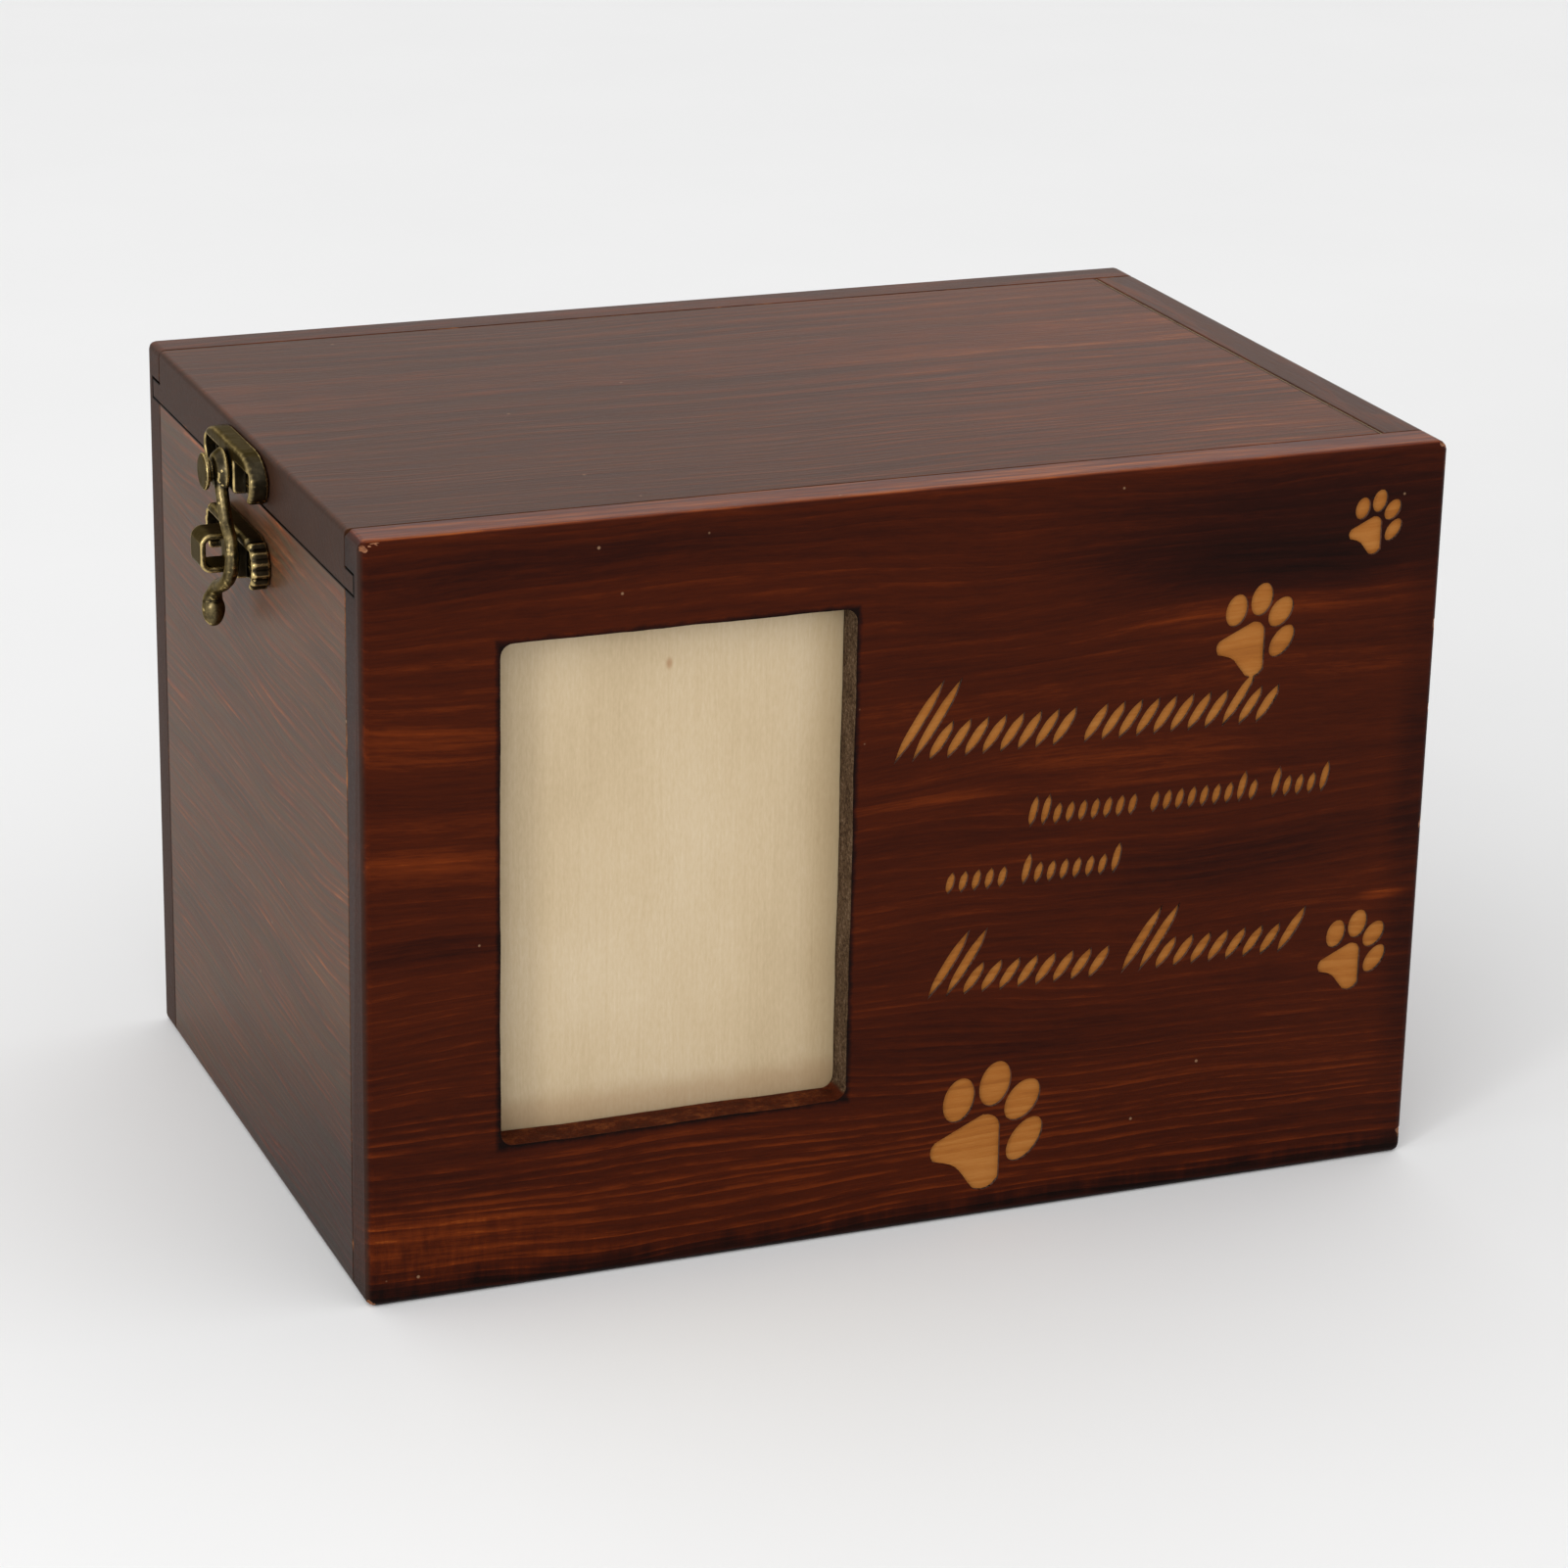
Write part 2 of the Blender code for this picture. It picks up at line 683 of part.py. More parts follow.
def hook_rivet():
    """The button-headed rivet that the hook turns on, fast in the plate."""
    shank = RIVET_DIAMETER / 2
    neck = RIVET_NECK_DIAMETER / 2
    head = RIVET_HEAD_DIAMETER / 2
    neck_back = HUB_FACE + TURN_CLEARANCE
    head_back = neck_back + RIVET_NECK_LENGTH
    head_face = head_back + RIVET_HEAD_THICKNESS
    edge = RIVET_HEAD_THICKNESS / 4
    profile = [(0, head_face), (head - 2 * edge, head_face), (head, head_face - edge)]
    profile += [(head, head_back + edge), (head - edge, head_back), (neck, head_back)]
    profile += [(neck, neck_back), (shank, neck_back), (shank, PLATE_SEAT), (0, PLATE_SEAT)]
    return on_end_face(turned("hook_rivet", profile, 28, parts, BRASS), 0, PIVOT_Z)


def catch_plate(panel):
    """The plate on the left end panel, with the raised loop that the hook bows round."""
    body = latch_plate(
        "catch_plate",
        CATCH_PLATE_LENGTH,
        CATCH_PLATE_HEIGHT,
        CATCH_Z,
        CATCH_POCKET_ROOF,
        panel,
        ribs=CATCH_RIBS,
    )
    root = PLATE_TOP - PLATE_EDGE_RADIUS
    outer = PLATE_SEAT + LOOP_RISE
    low, high = LOOP_Z - LOOP_HEIGHT / 2, LOOP_Z + LOOP_HEIGHT / 2
    upper = (outer - LOOP_BEND, high - LOOP_BEND)
    lower = (outer - LOOP_BEND, low + LOOP_BEND)
    bend = LOOP_BEND - LOOP_THICKNESS
    outline = [(root, high)]
    outline += arc(upper, LOOP_BEND, 90, 0, 6) + arc(lower, LOOP_BEND, 0, -90, 6)
    outline += [(root, low), (root, low + LOOP_THICKNESS)]
    outline += arc(lower, bend, -90, 0, 5) + arc(upper, bend, 0, 90, 5)
    outline += [(root, high - LOOP_THICKNESS)]
    join(body, side_on("catch_loop", [outline], LOOP_WIDTH, cutters))
    return body


def hook_path():
    """The hook's centre line, as (y, z, thickness) points: in front of the loop and under it."""
    side = LOOP_WIDTH / 2
    front = -(side + HOOK_BOW)
    below = LOOP_Z - LOOP_HEIGHT / 2 - TURN_CLEARANCE - HOOK_DIAMETER
    neck = PIVOT_Z - HUB_OUTER_DIAMETER / 2
    tail = below - HOOK_TAIL
    return (
        (-0.3 * HUB_OUTER_DIAMETER, neck + 0.5 * HOOK_DIAMETER, 1.05),
        (0.6 * front, 0.5 * neck + 0.5 * LOOP_Z + 0.05 * LOOP_HEIGHT, 1.05),
        (0.97 * front, LOOP_Z + 0.4 * LOOP_HEIGHT, 1.1),
        (0.92 * front, LOOP_Z - 0.25 * LOOP_HEIGHT, 1.15),
        (-0.7 * side, below, 1.15),
        (0.8 * side, 0.7 * below + 0.3 * tail, 1.15),
        (1.65 * side, 0.3 * below + 0.7 * tail, 1.15),
        (1.7 * side, tail, 1.1),
    )


def latch_hook():
    """The swinging horn-shaped hook. Its own origin is on its hinge line."""
    curve = bpy.data.curves.new("latch_hook_wire", "CURVE")
    curve.dimensions = "3D"
    curve.bevel_depth = HOOK_DIAMETER / 2
    curve.bevel_resolution = 2
    curve.resolution_u = 4
    curve.use_fill_caps = True
    spline = curve.splines.new("BEZIER")
    path = hook_path()
    spline.bezier_points.add(len(path) - 1)
    for point, (y, z, thickness) in zip(spline.bezier_points, path):
        point.co = (0, y, z - PIVOT_Z)
        point.handle_left_type = point.handle_right_type = "AUTO"
        point.radius = thickness
    guide = bpy.data.objects.new("latch_hook_guide", curve)
    cutters.objects.link(guide)
    middle = PLATE_SEAT + HOOK_RISE
    guide.matrix_world = Matrix.Translation((LEFT - middle, 0, PIVOT_Z))
    hook = meshed(guide, "latch_hook", parts, BRASS)
    hook.data.shade_smooth()
    back, face = HUB_INNER_DIAMETER / 2, HUB_OUTER_DIAMETER / 2
    edge = HUB_THICKNESS / 5
    profile = [(0, HUB_FACE), (face - edge, HUB_FACE), (face, HUB_FACE - edge)]
    profile += [(back, HUB_BACK + edge), (back - edge, HUB_BACK), (0, HUB_BACK)]
    hub = on_end_face(turned("hook_hub", profile, 28, cutters), 0, PIVOT_Z)
    tip_y, tip_z, _ = path[-1]
    ball = bmesh.new()
    bmesh.ops.create_uvsphere(ball, u_segments=14, v_segments=8, radius=HOOK_TIP_DIAMETER / 2)
    stretch = Vector((1, 1, HOOK_TIP_LENGTH / HOOK_TIP_DIAMETER))
    bmesh.ops.scale(ball, vec=stretch, verts=ball.verts)
    mesh = bpy.data.meshes.new("hook_tip")
    ball.to_mesh(mesh)
    ball.free()
    tip = linked("hook_tip", mesh, cutters)
    tip.matrix_world = Matrix.Translation(
        (LEFT - middle, tip_y - 0.3 * HOOK_DIAMETER, tip_z - 0.05 * HOOK_TIP_LENGTH)
    )
    join(hook, hub, tip)
    hole = RIVET_DIAMETER / 2 + TURN_CLEARANCE
    cut(hook, rod("hook_hub_hole", hole, 0, HUB_FACE + OVERSHOOT, 0, PIVOT_Z))
    return hook


front_panel()
back_panel()
left = end_panel("left_end_panel", LEFT, INNER_LEFT, LID_BOTTOM - GLUE_GAP)
end_panel("right_end_panel", RIGHT, INNER_RIGHT, HEIGHT)
floor_panel()
backing_board()
lid = sliding_lid()
lid_plate(lid)
catch_plate(left)
hook_rivet()
latch_hook()
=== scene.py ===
"""The looks of the pet urn box: stained softwood, a pale board behind the window, aged brass.

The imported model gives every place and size. Lengths are metres, +Z up, and textures are scaled
in millimetres. The front faces -Y, and the latch is on the left end, -X.
"""
import json
import math

import bmesh
import bpy
from mathutils import Matrix, Vector, noise


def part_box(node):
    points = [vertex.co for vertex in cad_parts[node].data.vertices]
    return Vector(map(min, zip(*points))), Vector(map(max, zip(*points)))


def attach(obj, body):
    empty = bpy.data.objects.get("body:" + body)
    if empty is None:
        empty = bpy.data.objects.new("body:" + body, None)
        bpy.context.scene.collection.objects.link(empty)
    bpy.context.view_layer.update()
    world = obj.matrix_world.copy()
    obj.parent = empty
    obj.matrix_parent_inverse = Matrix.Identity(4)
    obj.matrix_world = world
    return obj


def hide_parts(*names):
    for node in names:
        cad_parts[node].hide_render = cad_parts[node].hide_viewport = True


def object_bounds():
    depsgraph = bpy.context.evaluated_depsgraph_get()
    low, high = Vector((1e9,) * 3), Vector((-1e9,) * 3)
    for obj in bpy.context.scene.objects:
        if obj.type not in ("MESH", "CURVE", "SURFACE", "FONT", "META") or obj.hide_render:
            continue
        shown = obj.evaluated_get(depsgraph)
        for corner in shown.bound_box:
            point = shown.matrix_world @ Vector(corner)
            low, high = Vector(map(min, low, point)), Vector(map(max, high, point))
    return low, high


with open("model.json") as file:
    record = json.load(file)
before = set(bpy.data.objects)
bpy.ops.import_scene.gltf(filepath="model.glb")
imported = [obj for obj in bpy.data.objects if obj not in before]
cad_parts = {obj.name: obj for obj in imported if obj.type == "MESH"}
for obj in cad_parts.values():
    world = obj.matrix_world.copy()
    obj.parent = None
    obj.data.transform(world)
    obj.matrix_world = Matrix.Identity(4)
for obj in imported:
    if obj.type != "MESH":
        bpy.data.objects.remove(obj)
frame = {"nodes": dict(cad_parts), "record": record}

MM = 0.001

# The camera, worked out from the box's own edges: degrees, metres and a lens in millimetres
CAMERA_EYE = (-0.2939, -0.7324, 0.3429)
CAMERA_TURN = 22.02
CAMERA_TILT = 19.87
CAMERA_ROLL = 1.205
CAMERA_LENS = 108.5

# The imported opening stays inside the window's real edge by the margin. The real edge has round
# corners and wanders, and its cutter is made of short steps, in layers through the board
WINDOW_MARGIN = 0.3 * MM
WINDOW_CORNER = 2.2 * MM
WINDOW_WOBBLE = 0.3 * MM
WINDOW_STEP = 1.5 * MM
WINDOW_LAYERS = 8
CORNER_STEPS = 6

# The engraving's depth, and how much deeper it is cut again here, so that no old floor is left
ENGRAVING_DEPTH = 0.45 * MM
ENGRAVING_EXTRA = 0.03 * MM

# How far a cutter stands out past the faces that it cuts
OVERSHOOT = 1 * MM

# The rounding of the boards' edges, and the angle in radians from which an edge is rounded
SOFT_EDGE = 0.25 * MM
SOFT_EDGE_ANGLE = 1.2

nodes = frame["nodes"]
record = frame["record"]
cad_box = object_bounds()
body_of = {
    node: body for body, members in record["behaviour"]["bodies"].items() for node in members
}
openings = {opening["name"]: opening["box_m"] for opening in record["physics"]["openings"]}
node_box = {node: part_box(node) for node in body_of}
lid_low, lid_high = node_box["sliding_lid"]

# Faces above this height are in sight beside the lid, so they are stained inside too
CHAMBER_TOP = lid_low.z + 1 * MM

# These values, down to the finger's, are millimetres: first the lid's top and the chamber's ends
LID_TOP = lid_high.z / MM
CHAMBER_LEFT = node_box["left_end_panel"][1].x / MM
CHAMBER_RIGHT = node_box["right_end_panel"][0].x / MM

# The lid's tongues, the clearance of their grooves, and the gap under the lid
TONGUE_THICKNESS = 3.2
TONGUE_REACH = 4.4
TONGUE_CLEARANCE = 0.4
LID_GAP = 0.3

# Painted shade in the gaps round the lid: how far from a gap's middle it has faded out and is full
TIP_GAP_SHADE = (0.48, 0.30)
FLOOR_GAP_SHADE = (0.42, 0.26)
ROOF_GAP_SHADE = (0.42, 0.28)

# The hook's finger: how far above its tip it is fullest, how far that spreads, and how much it is
FINGER_HEIGHT = 4.2
FINGER_SPREAD = 1.7
FINGER_EXTRA = 0.50


class Wire:
    """A number or colour that flows between a material's nodes."""

    def __init__(self, finish, socket):
        self.finish = finish
        self.socket = socket

    def __add__(self, other):
        return self.finish.math("ADD", self, other)

    def __sub__(self, other):
        return self.finish.math("SUBTRACT", self, other)

    def __mul__(self, other):
        return self.finish.math("MULTIPLY", self, other)

    def __truediv__(self, other):
        return self.finish.math("DIVIDE", self, other)

    def __rsub__(self, other):
        return self.finish.math("SUBTRACT", other, self)

    __radd__ = __add__
    __rmul__ = __mul__


class Finish:
    """A material, with short ways to write its nodes. Its places are millimetres."""

    def __init__(self, name, metallic=0.0, ior=1.5):
        self.material = bpy.data.materials.new(name)
        self.material.use_nodes = True
        self.tree = self.material.node_tree
        self.shader = self.tree.nodes["Principled BSDF"]
        self.shader.inputs["Metallic"].default_value = metallic
        self.shader.inputs["IOR"].default_value = ior
        place = self.node("ShaderNodeTexCoord").outputs["Object"]
        grown = self.node("ShaderNodeVectorMath", operation="SCALE")
        self.put(grown.inputs[0], place)
        grown.inputs["Scale"].default_value = 1 / MM
        split = self.node("ShaderNodeSeparateXYZ")
        self.put(split.inputs[0], grown.outputs[0])
        self.x, self.y, self.z = (Wire(self, socket) for socket in split.outputs)

    def node(self, kind, **settings):
        """Adds a node of this kind with its settings."""
        made = self.tree.nodes.new(kind)
        for key, value in settings.items():
            setattr(made, key, value)
        return made

    def put(self, socket, value):
        """Links a wire to a socket, or sets a plain number on it."""
        if isinstance(value, Wire):
            value = value.socket
        if isinstance(value, bpy.types.NodeSocket):
            self.tree.links.new(value, socket)
        else:
            socket.default_value = value

    def math(self, operation, *values):
        """One sum of wires and numbers."""
        made = self.node("ShaderNodeMath", operation=operation)
        for socket, value in zip(made.inputs, values):
            self.put(socket, value)
        return Wire(self, made.outputs[0])

    def point(self, x, y, z):
        """A place made of three wires or numbers."""
        made = self.node("ShaderNodeCombineXYZ")
        for socket, value in zip(made.inputs, (x, y, z)):
            self.put(socket, value)
        return made.outputs[0]

    def noise(self, x, y, z, detail=2.0, rough=0.5, spread=1.0):
        """Cloudy noise about 0, mostly within half of spread."""
        made = self.node("ShaderNodeTexNoise")
        self.put(made.inputs["Vector"], self.point(x, y, z))
        made.inputs["Scale"].default_value = 1.0
        made.inputs["Detail"].default_value = detail
        made.inputs["Roughness"].default_value = rough
        return (Wire(self, made.outputs["Fac"]) - 0.5) * spread

    def cells(self, x, y, z):
        """The distance to the nearest of many scattered points."""
        made = self.node("ShaderNodeTexVoronoi")
        self.put(made.inputs["Vector"], self.point(x, y, z))
        made.inputs["Scale"].default_value = 1.0
        return Wire(self, made.outputs["Distance"])

    def step(self, value, start, end, low=0.0, high=1.0):
        """Rises smoothly from low to high while value goes from start to end."""
        made = self.node("ShaderNodeMapRange", interpolation_type="SMOOTHSTEP")
        for socket, number in zip(made.inputs, (value, start, end, low, high)):
            self.put(socket, number)
        return Wire(self, made.outputs[0])

    def ramp(self, value, *stops):
        """A colour read off stops of (place, colour)."""
        made = self.node("ShaderNodeValToRGB")
        line = made.color_ramp
        while len(line.elements) < len(stops):
            line.elements.new(0.5)
        for element, (place, colour) in zip(line.elements, stops):
            element.position = place
            element.color = (*colour, 1)
        self.put(made.inputs[0], value)
        return Wire(self, made.outputs[0])

    def mix(self, share, below, above):
        """Colours mixed: below where share is 0, above where it is 1."""
        made = self.node("ShaderNodeMix", data_type="RGBA", clamp_factor=True)
        self.put(made.inputs["Factor"], share)
        for name, value in (("A", below), ("B", above)):
            socket = next(s for s in made.inputs if s.name == name and s.type == "RGBA")
            self.put(socket, value if isinstance(value, Wire) else (*value, 1))
        result = next(s for s in made.outputs if s.type == "RGBA")
        return Wire(self, result)

    def edge_distance(self, low, high):
        """Millimetres from a point on a box's surface to the box's nearest edge."""
        gaps = []
        for place, a, b in zip((self.x, self.y, self.z), low, high):
            gaps.append(self.math("MINIMUM", place - a / MM, b / MM - place))
        small = self.math("MINIMUM", gaps[0], gaps[1])
        large = self.math("MAXIMUM", gaps[0], gaps[1])
        return self.math("MAXIMUM", small, self.math("MINIMUM", large, gaps[2]))

    def patch(self, a, b, centre, half):
        """1 in the middle of an oval of half sizes, 0 outside it."""
        across = (a - centre[0]) / half[0]
        up = (b - centre[1]) / half[1]
        reach = self.math("SQRT", across * across + up * up)
        return self.step(reach, 1.0, 0.15)

    def finish(self, colour, roughness, height=None, relief=0.05):
        """Feeds the shader. relief is the height's full range in millimetres."""
        self.put(self.shader.inputs["Base Color"], colour)
        self.put(self.shader.inputs["Roughness"], roughness)
        if height is not None:
            bump = self.node("ShaderNodeBump")
            bump.inputs["Strength"].default_value = 1.0
            bump.inputs["Distance"].default_value = relief * MM
            self.put(bump.inputs["Height"], height)
            self.put(self.shader.inputs["Normal"], bump.outputs[0])
        return self.material


# Stained wood, from the darkest line to the brightest streak
STAIN = (
    (0.00, (0.005, 0.0012, 0.0006)),
    (0.26, (0.020, 0.0030, 0.0010)),
    (0.50, (0.050, 0.0070, 0.0010)),
    (0.74, (0.120, 0.0190, 0.0020)),
    (1.00, (0.360, 0.0900, 0.0130)),
)
WORN = (0.40, 0.150, 0.050)
SAWN = (0.030, 0.0150, 0.0100)
# A dull brown film, partly dusty and partly a painted sheen of the bright surround
DUST_AND_SHEEN = (0.185, 0.120, 0.062)
# Near black, the colour of the painted shade in the gaps round the lid
GAP_SHADE = (0.003, 0.002, 0.001)
SPECK = (0.42, 0.25, 0.14)
VARNISH_IOR = 1.14

# How strongly the yearly lines show in the stain
LINE_STRENGTH = 0.19

# The front's wood, which its engraving shows too: the axes along and across its grain and into it,
# the pith's place across and into it, the yearly lines' pitch in millimetres, and a seed
FRONT_GRAIN = ("X", "Z", "Y", (88, -37), 1.7, 1)


def grain(f, along, across, depth, pith, pitch, seed):
    """The fields of straight softwood: places along and across, yearly lines, fibres and drifts."""
    axis = {"X": f.x, "Y": f.y, "Z": f.z}
    u, v, w = axis[along] + 271 * seed, axis[across], axis[depth]
    drift = f.noise(u / 120, v / 45, w / 45, 2, spread=16)
    ripple = f.noise(u / 16, v / 6, w / 6, 3, 0.6, spread=0.6)
    v = v + drift + ripple
    side = v - pith[0]
    deep = w - pith[1]
    reach = f.math("SQRT", side * side + deep * deep)
    years = reach / pitch + f.noise(reach / 7, 4 * seed, 0, 3, spread=4)
    saw = f.math("FRACT", years)
    late = f.step(saw, 0.30, 0.92) * f.step(saw, 1.0, 0.92)
    breaks = f.noise(u / 11, v * 0.7, w * 0.7, 4, 0.65, spread=2.4)
    late = late * f.step(breaks, -0.5, 0.4, 0.1, 1.0)
    fibres = f.noise(u / 15, v * 1.2, w * 1.2, 5, 0.72, spread=2.5)
    dashes = f.noise(u / 3, v * 2.6, w * 2.6, 3, 0.65, spread=2.2)
    broad = f.noise(u / 80, v / 7, w / 7, 4, 0.6, spread=2.4)
    return u, v, late, fibres, dashes, broad


def painted_gap_shade(f):
    """1 along the gaps round the lid, where their shade is painted in, on the faces at the left end.
    """
    lid_left = lid_low.x / MM
    lid_bottom = lid_low.z / MM
    tongue_tip = lid_high.y / MM
    roof = lid_bottom + TONGUE_THICKNESS + TONGUE_CLEARANCE / 2
    side = f.math("ABSOLUTE", f.y)
    from_tip = f.math("ABSOLUTE", side - (tongue_tip + TONGUE_CLEARANCE / 2))
    from_floor = f.math("ABSOLUTE", f.z - (lid_bottom - LID_GAP / 2))
    from_roof = f.math("ABSOLUTE", f.z - roof)
    beside = f.step(side, tongue_tip - TONGUE_REACH - 0.2, tongue_tip - TONGUE_REACH)
    under = f.step(f.z, roof + 0.25, roof + 0.15)
    above = f.step(f.z, lid_bottom - 0.5, lid_bottom - 0.4)
    short = f.step(side, tongue_tip + 0.6, tongue_tip + 0.5)
    upright = f.step(from_tip, *TIP_GAP_SHADE) * under * above
    on_roof = f.step(from_roof, *ROOF_GAP_SHADE) * beside
    level = f.math("MAXIMUM", f.step(from_floor, *FLOOR_GAP_SHADE), on_roof) * short
    end = f.step(f.x, lid_left + 0.6, lid_left + 0.3)
    return f.math("MAXIMUM", upright, level) * end


def stained(name, node, along, across, depth, pith, pitch, seed, shade=None, dust_and_sheen=0.0):
    """Dark red-brown stain on softwood, rubbed through here and there on the board's edges.

    dust_and_sheen is the share of a dull brown film on it, partly dusty and partly painted sheen.
    shade gives a board's own marks: an extra tone, how far the yearly lines stand out, and how
    much of the film there is.
    """
    f = Finish(name, ior=VARNISH_IOR)
    u, v, late, fibres, dashes, broad = grain(f, along, across, depth, pith, pitch, seed)
    tone = 0.46 + 0.16 * fibres + 0.07 * dashes + 0.13 * broad
    opened, film = 1.0, 1.0
    if shade:
        extra, opened, film = shade(f, u, v)
        tone = tone + extra
    tone = tone + (late - 0.3) * LINE_STRENGTH * opened
    low, high = node_box[node]
    if high.z / MM > LID_TOP - 0.5:
        # The faces on top are a little lighter
        tone = tone + f.step(f.z, LID_TOP - 0.35, LID_TOP - 0.05, 0.0, 0.07)
    colour = f.ramp(tone, *STAIN)
    # A dull brown film, partly dusty and partly painted sheen of the bright surround
    if dust_and_sheen:
        share = dust_and_sheen * (1.0 + 0.35 * broad + 0.6 * fibres + 0.5 * dashes) * film
        colour = f.mix(share, colour, DUST_AND_SHEEN)
    ends = 0.0
    if along == "X":
        # Sawn across the grain, both ends have soaked up more stain
        sawn = f.noise(f.x, f.y * 1.4, f.z * 1.4, 4, 0.7, spread=2.0)
        left = f.step(f.x, low.x / MM + 0.7, low.x / MM + 0.1)
        right = f.step(f.x, high.x / MM - 0.7, high.x / MM - 0.1)
        ends = left + right
        colour = f.mix(ends * (0.75 + 0.3 * sawn), colour, SAWN)
    rim = f.edge_distance(low, high)
    rub = f.noise(f.x / 9, f.y / 9, f.z / 9, 5, 0.75, spread=2.6)
    worn = f.step(rim * 0.8 + rub, 0.02, -0.55)
    colour = f.mix(worn * 0.85, colour, WORN)
    # Painted shade, nearly black, in the gaps round the lid at the left end
    if node != "right_end_panel":
        colour = f.mix(painted_gap_shade(f) * 0.92, colour, GAP_SHADE)
    nicks = f.cells(f.x / 11, f.y / 11, f.z / 11)
    specks = f.step(nicks, 0.032, 0.016)
    colour = f.mix(specks * 0.4, colour, SPECK)
    height = 0.6 * fibres + 0.3 * late + 0.35 * dashes - 0.8 * specks - 0.4 * worn
    rough = 0.36 + 0.07 * fibres + 0.06 * dashes + 0.12 * worn + 0.16 * ends
    return f.finish(colour, rough, height, 0.035)


# Marks on the front as x, z, half length and half height in millimetres, and strength
GLOWS = (
    (-85, 98, 26, 5, 0.22),
    (-86, 76, 24, 4.5, 0.20),
    (-80, 10, 42, 9, 0.20),
    (-2, 77, 26, 3.2, 0.20),
    (38, 79, 34, 4.5, 0.16),
    (62, 104, 40, 3, 0.14),
    (88, 50, 7, 1.2, 0.42),
    (-20, 14, 70, 12, 0.10),
    (48, 23, 60, 7, 0.10),
)
SHADES = (
    (68, 120, 62, 15, -0.24),
    (66, 112, 46, 8, -0.20),
    (-60, 124, 70, 6, -0.14),
    (93, 60, 7, 80, -0.14),
    (60, 60, 46, 9, -0.10),
    (-84, 60, 26, 5, -0.10),
    (20, 34, 60, 6, -0.08),
)


def front_shade(f, u, v):
    """The front's own glows and shades, and where its yearly lines stand out."""
    streaks = f.noise(u / 34, v * 0.9, f.y, 4, 0.65, spread=2.6)
    total = 0.0
    for x, z, half_x, half_z, strength in GLOWS:
        total = f.patch(f.x, v, (x, z), (half_x, half_z)) * strength + total
    total = total * (0.8 + 1.1 * streaks)
    for x, z, half_x, half_z, strength in SHADES:
        total = f.patch(f.x, v, (x, z), (half_x, half_z)) * strength + total
    # A dark scalloped line along the foot, and upright tongues of tone in the left corner
    scallop = f.noise(f.x / 6, 0, 0, 4, 0.6, spread=7)
    total = total + f.step(f.z + scallop, 5.0, 0.8, 0.0, -0.36)
    left = node_box["front_panel"][0].x / MM
    corner = f.step(f.z + 0.35 * (f.x - left), 30, 6)
    flame = f.noise(f.x / 1.6, f.z / 7, f.y, 3, 0.6, spread=2.2)
    total = total + corner * flame * 0.22
    # The board's streaky top
    strip = f.noise(f.x / 24, f.y * 1.1, 0, 5, 0.7, spread=2.6)
    total = total + f.step(f.z, LID_TOP - 0.3, LID_TOP - 0.05) * (0.28 + 0.34 * strip)
    # A ragged dark line round the window
    low, high = openings["photo_window"]
    aside = f.math("ABSOLUTE", f.x - (low[0] + high[0]) / 2 / MM) - (high[0] - low[0]) / 2 / MM
    above = f.math("ABSOLUTE", f.z - (low[2] + high[2]) / 2 / MM) - (high[2] - low[2]) / 2 / MM
    past_window = f.math("MAXIMUM", aside, above) + f.noise(f.x / 2.5, 0, f.z / 2.5, 4, 0.7, spread=1.4)
    total = total + f.step(past_window, 1.5, 0.3, 0.0, -0.46)
    low_left = f.step(f.z + 0.12 * f.x, 44, 14)
    return total, 0.6 + 0.8 * low_left, 1.0


def end_shade(f, u, v):
    """The left end: streaked, darker low down and redder right under the lid."""
    streaks = f.noise(u / 34, v * 0.9, f.x, 4, 0.7, spread=2.5)
    shadow = f.step(f.z + 0.35 * f.y, 34, -8)
    top = node_box["left_end_panel"][1].z / MM
    seam = f.step(f.z + 0.8 * f.noise(f.y / 7, 0, 0, 4, 0.6, spread=2.4), top - 1.5, top - 0.1)
    return 0.60 * streaks - 0.24 * shadow + 0.30 * seam, 1.6, 1.0 - 0.75 * shadow - 0.6 * streaks


def lid_shade(f, u, v):
    """The lid: a few redder streaks, and lighter towards the right by painted sheen."""
    streaks = f.noise(u / 40, v * 0.6, f.z, 4, 0.65, spread=2.4)
    redder = f.step(f.x - 1.2 * f.y, -20, 110)
    # Painted sheen: the tone rises towards the right
    return f.step(f.x, -70, 90, -0.04, 0.12) + streaks * (0.12 + 0.26 * redder), 1.0, 1.0


PALE_WOOD = (
    (0.0, (0.36, 0.22, 0.11)),
    (0.5, (0.62, 0.45, 0.26)),
    (1.0, (0.74, 0.58, 0.37)),
)


def raw_wood():
    """Plain unstained softwood for the inside, with painted shade past the chamber, where it shows in
    gaps.
    """
    f = Finish("raw_softwood")
    late, fibres, dashes, broad = grain(f, "X", "Z", "Y", (70, 20), 2.6, 5)[2:]
    tone = 0.62 + 0.12 * fibres + 0.08 * dashes + 0.1 * broad - 0.22 * late
    colour = f.ramp(tone, *PALE_WOOD)
    # Painted shade: past the chamber the faces lie deep in the joints, so they take the sawn ends'
    # dark colour
    left = f.step(f.x, CHAMBER_LEFT - 0.05, CHAMBER_LEFT - 0.25)
    right = f.step(f.x, CHAMBER_RIGHT + 0.05, CHAMBER_RIGHT + 0.25)
    colour = f.mix(left + right, colour, SAWN)
    return f.finish(colour, 0.62 + 0.08 * fibres, 0.5 * fibres - 0.3 * late + 0.4 * dashes, 0.05)


def chipped_wood():
    """The fresh wood in a chip."""
    f = Finish("chipped_wood")
    fibres = f.noise(f.x * 1.1, f.y * 2.4, f.z * 2.4, 5, 0.75, spread=2.8)
    colour = f.ramp(
        0.42 + 0.5 * fibres,
        (0.0, (0.05, 0.010, 0.003)),
        (0.5, (0.30, 0.11, 0.04)),
        (1.0, (0.72, 0.52, 0.33)),
    )
    return f.finish(colour, 0.75, fibres, 0.08)


